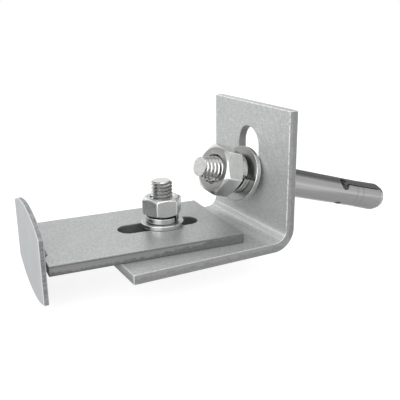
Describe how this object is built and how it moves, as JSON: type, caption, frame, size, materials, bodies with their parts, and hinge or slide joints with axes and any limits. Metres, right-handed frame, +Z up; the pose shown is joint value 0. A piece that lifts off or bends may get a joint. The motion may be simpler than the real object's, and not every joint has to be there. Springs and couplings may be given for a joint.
{
  "type": "cladding bracket",
  "caption": "Adjustable stainless steel cladding bracket: a slotted angle with a bolted slide arm and welded end plate, held to the wall by an expansion anchor.",
  "frame": {"origin": "on the wall face of the upright, level with the underside of the leg, at mid width", "axes": "+X out from the wall along the leg, +Y sideways along the wall, +Z up the upright"},
  "size_m": [0.1645, 0.0581, 0.0596],
  "materials": {
    "plate_steel": "pickled stainless steel plate, matt, with a fine grain",
    "end_plate_steel": "rolled stainless steel sheet, satin",
    "weld_metal": "cleaned weld bead",
    "fastener_steel": "bright stainless steel, drawn and rolled",
    "washer_steel": "bright stainless steel, punched",
    "sleeve_steel": "drawn stainless steel tube, satin"
  },
  "bodies": {
    "bracket": {"angle_bracket": "plate_steel"},
    "arm_fixing": {"arm_bolt": "fastener_steel", "arm_spring_washer": "washer_steel", "arm_nut": "fastener_steel"},
    "arm_washer": {"arm_flat_washer": "washer_steel"},
    "arm": {"slide_plate": "plate_steel", "end_plate": "end_plate_steel", "end_plate_weld": "weld_metal"},
    "anchor": {"anchor_stud": "fastener_steel", "anchor_sleeve": "sleeve_steel", "anchor_flat_washer": "washer_steel", "anchor_spring_washer": "washer_steel", "anchor_nut": "fastener_steel"}
  },
  "joints": [
    {"name": "side_slide", "type": "slide", "parent": "bracket", "child": "arm_fixing", "axis": [0, 1, 0], "range_m": [-0.0022, 0.0128]},
    {"name": "arm_swivel", "type": "hinge", "parent": "arm_fixing", "child": "arm_washer", "pos_m": [0.038, -0.0053, 0.007], "axis": [0, 0, 1], "range_deg": [-3.4, 12.6]},
    {"name": "reach_slide", "type": "slide", "parent": "arm_washer", "child": "arm", "axis": [0.9968, -0.0802, 0], "range_m": [-0.004, 0.0095]},
    {"name": "height_slide", "type": "slide", "parent": "bracket", "child": "anchor", "axis": [0, 0, 1], "range_m": [0, 0.0125]}
  ]
}
